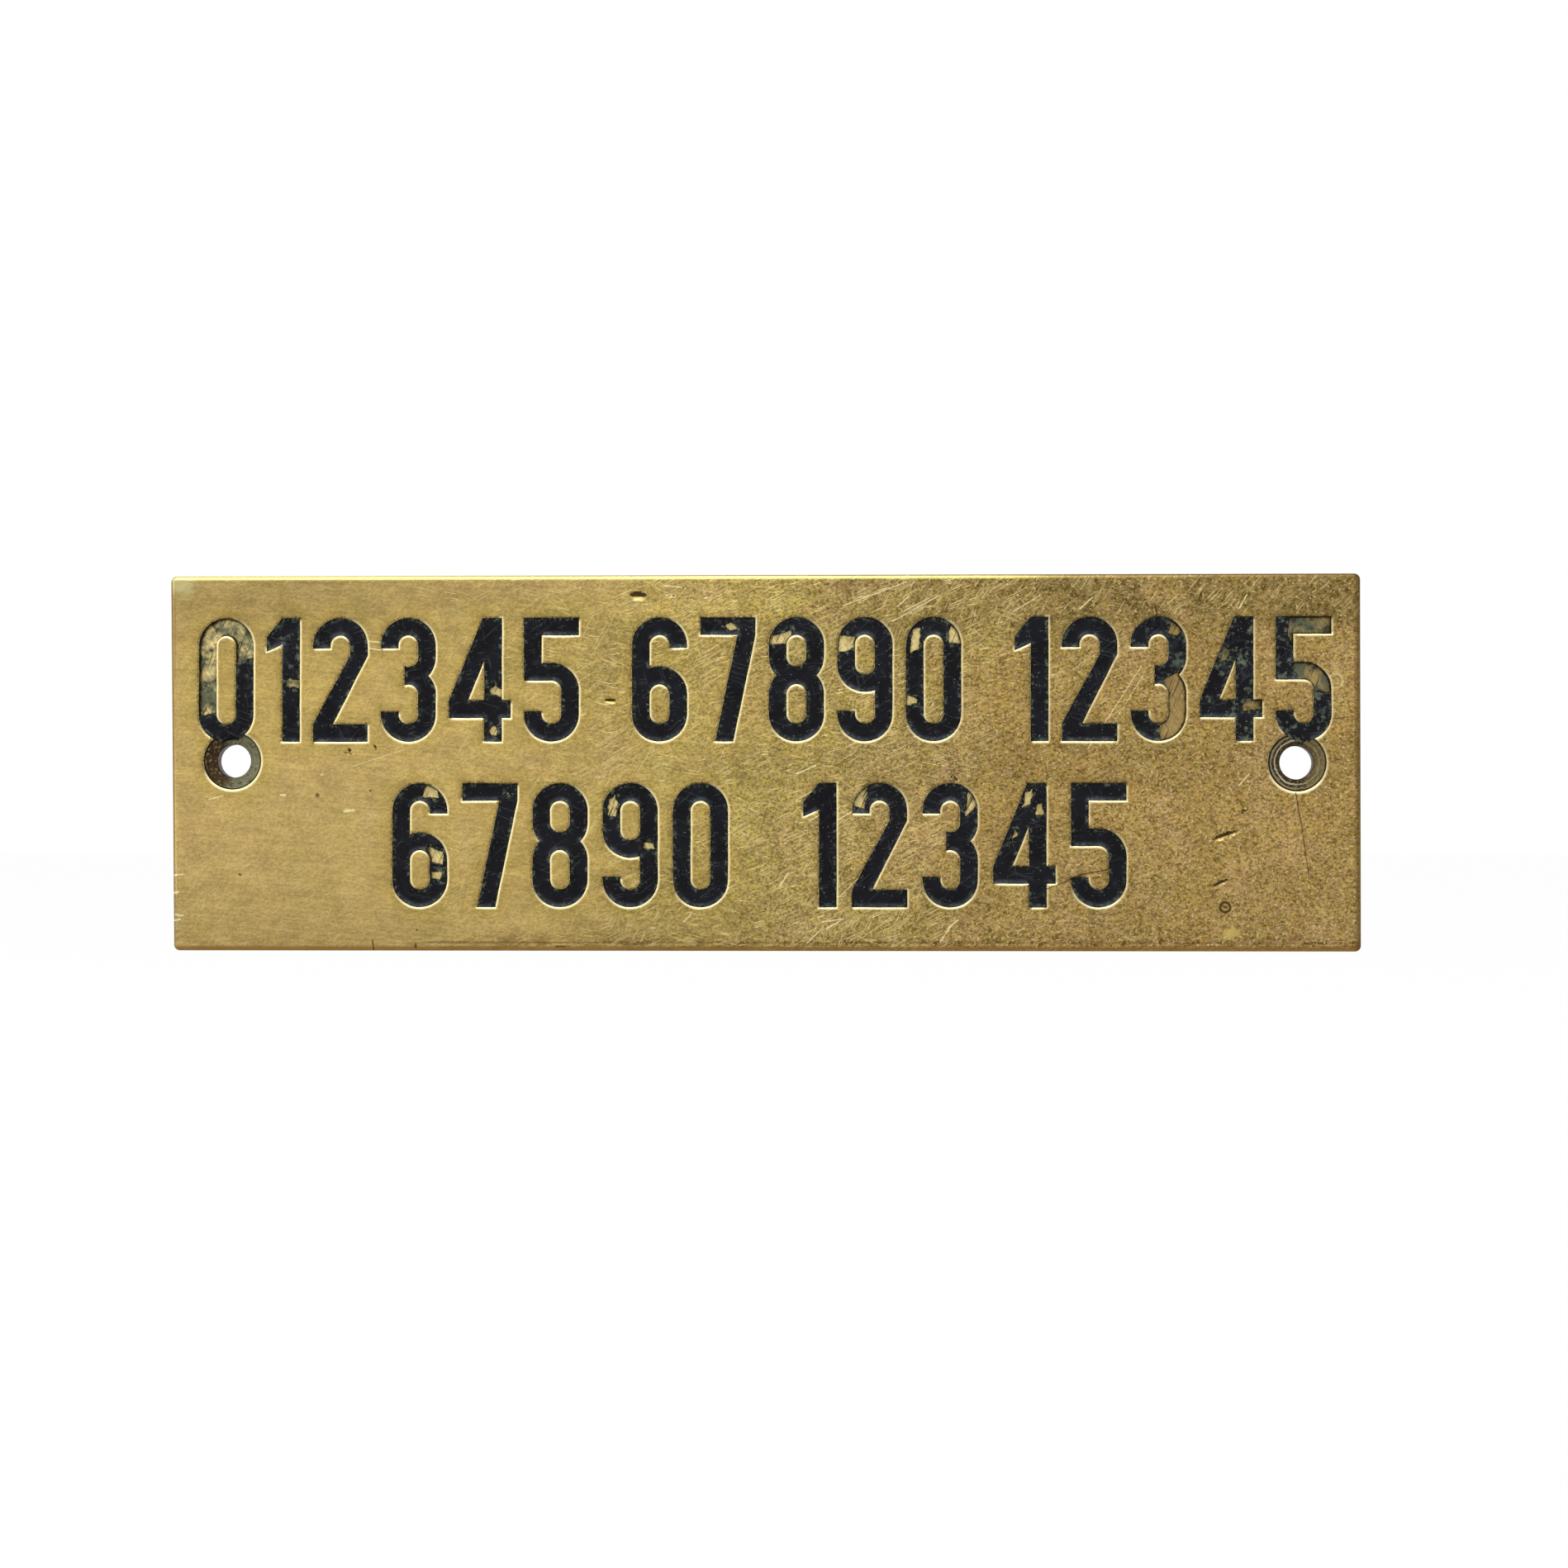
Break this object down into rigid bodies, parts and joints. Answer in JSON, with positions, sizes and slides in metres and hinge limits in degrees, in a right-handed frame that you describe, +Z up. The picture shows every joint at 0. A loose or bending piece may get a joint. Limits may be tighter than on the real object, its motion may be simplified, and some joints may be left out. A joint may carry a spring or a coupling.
{
  "type": "railway shelf plate",
  "caption": "Engraved brass plate with two rows of black-filled numerals and two countersunk screw holes, for the front edge of a shelf.",
  "frame": {"origin": "centre of the plate on its back face, where it lies against the shelf's edge", "axes": "+X along the plate towards its right end as read, +Y out of the back face into the shelf, +Z up"},
  "size_m": [0.1206, 0.0032, 0.0382],
  "materials": {
    "brass": "worn satin with light tarnish",
    "wax": "satin"
  },
  "bodies": {
    "root": {"plate": "brass", "wax_upper_01": "wax", "wax_upper_02": "wax", "wax_upper_03": "wax", "wax_upper_04": "wax", "wax_upper_05": "wax", "wax_upper_06": "wax", "wax_upper_07": "wax", "wax_upper_08": "wax", "wax_upper_09": "wax", "wax_upper_10": "wax", "wax_upper_11": "wax", "wax_upper_12": "wax", "wax_upper_13": "wax", "wax_upper_14": "wax", "wax_upper_15": "wax", "wax_upper_16": "wax", "wax_lower_01": "wax", "wax_lower_02": "wax", "wax_lower_03": "wax", "wax_lower_04": "wax", "wax_lower_05": "wax", "wax_lower_06": "wax", "wax_lower_07": "wax", "wax_lower_08": "wax", "wax_lower_09": "wax", "wax_lower_10": "wax"}
  },
  "joints": []
}
